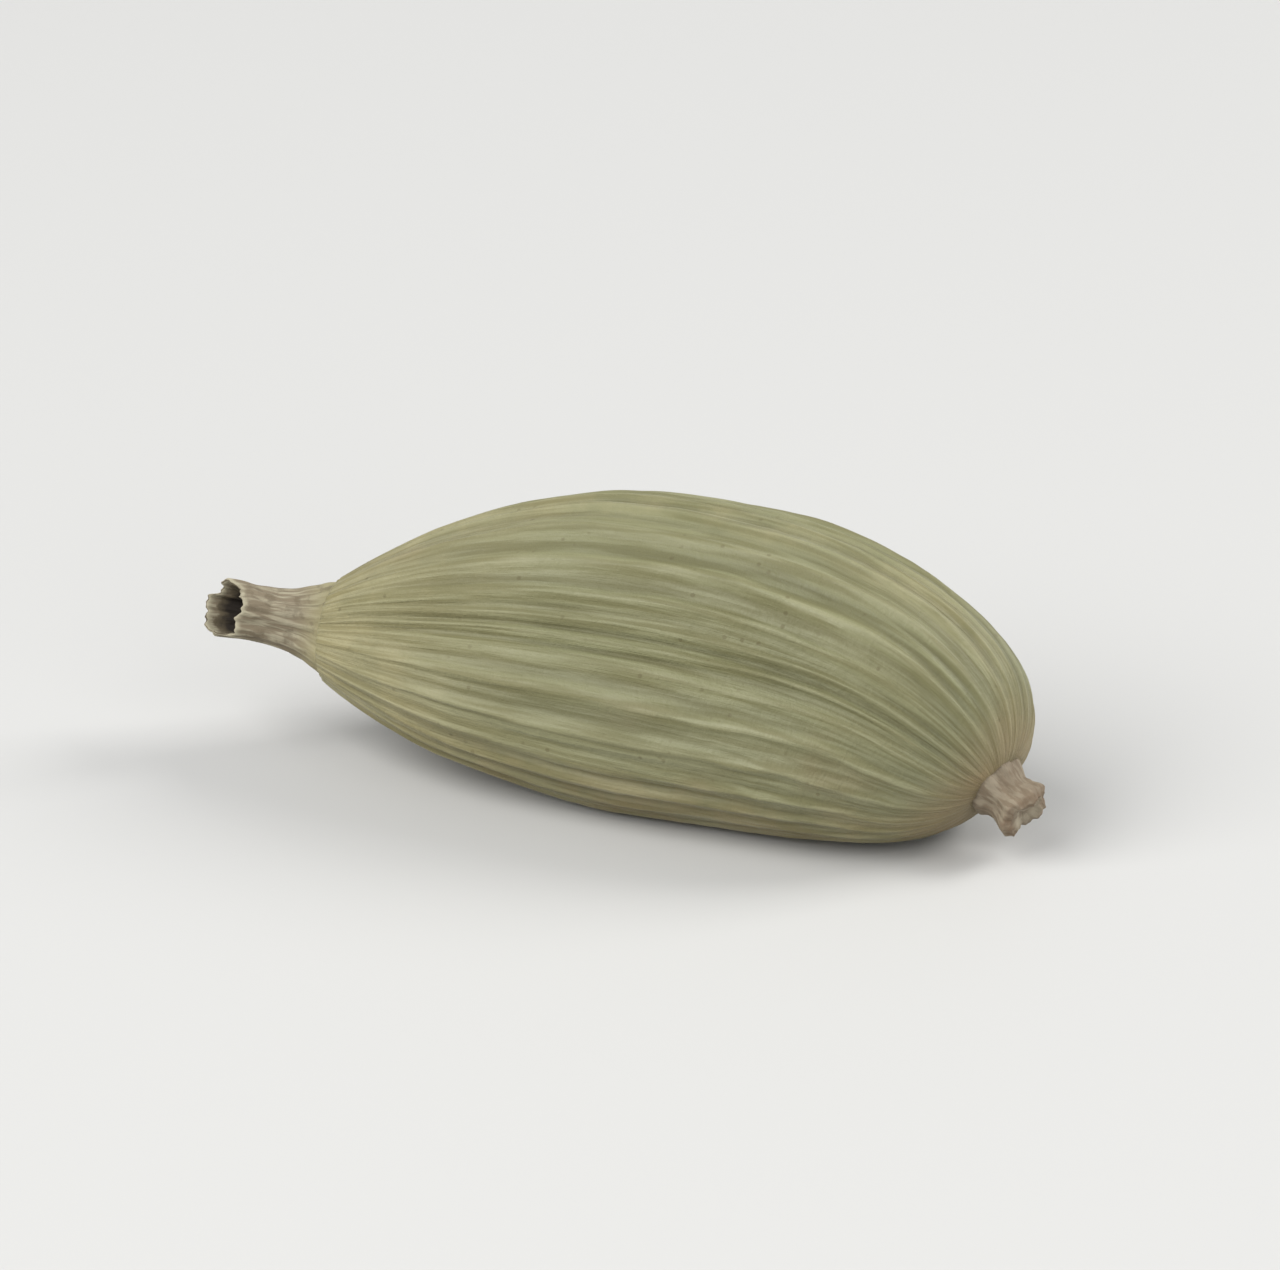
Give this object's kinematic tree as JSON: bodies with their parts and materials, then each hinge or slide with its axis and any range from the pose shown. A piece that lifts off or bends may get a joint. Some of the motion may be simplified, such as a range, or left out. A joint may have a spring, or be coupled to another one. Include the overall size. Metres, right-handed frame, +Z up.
{
  "type": "green cardamom pod",
  "caption": "Dried green cardamom pod: a ribbed, blunt three-sided husk with a torn flower-tube remnant at one end and a broken stalk at the other, lying on one face.",
  "frame": {"origin": "on the surface that the pod lies on, under the middle of its bounding box", "axes": "+X along the pod's length towards the broken stalk, -X towards the dry flower tube, +Y to the left of that, +Z up from the surface, with one ridge of the husk on top"},
  "size_m": [0.0236, 0.0092, 0.0079],
  "materials": {
    "husk": "satin",
    "dry_flower_tube": "matte",
    "dry_stalk": "matte"
  },
  "bodies": {
    "root": {"husk": "husk", "calyx_tube": "dry_flower_tube", "stalk_stub": "dry_stalk"}
  },
  "joints": []
}
